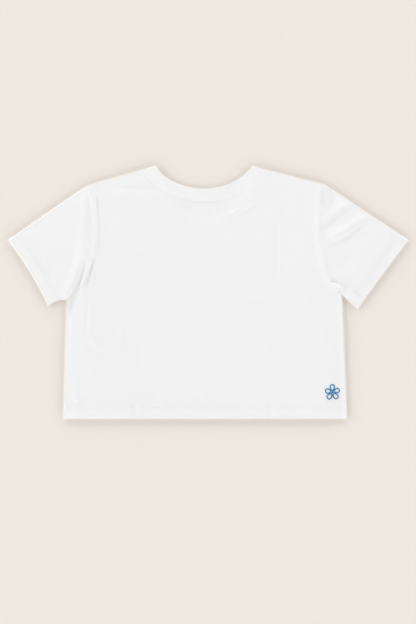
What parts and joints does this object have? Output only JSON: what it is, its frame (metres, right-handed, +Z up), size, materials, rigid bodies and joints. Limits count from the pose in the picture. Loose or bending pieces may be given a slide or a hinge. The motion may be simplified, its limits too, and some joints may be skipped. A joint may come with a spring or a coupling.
{
  "type": "crop top",
  "caption": "White jersey crop top laid flat, back upwards: short sleeves, round ribbed neck, straight turned hem.",
  "frame": {"origin": "on the surface it lies on, under the middle of the garment's outline", "axes": "+X across the garment towards the right-hand sleeve as seen from above with the neck away, +Y from hem to neck, +Z up from the surface"},
  "size_m": [0.7425, 0.4691, 0.0073],
  "materials": {
    "jersey": "matte white single jersey",
    "rib": "matte white rib knit"
  },
  "bodies": {
    "root": {"front_panel": "jersey", "back_panel": "jersey", "left_sleeve": "jersey", "right_sleeve": "jersey", "neck_rib": "rib"}
  },
  "joints": []
}
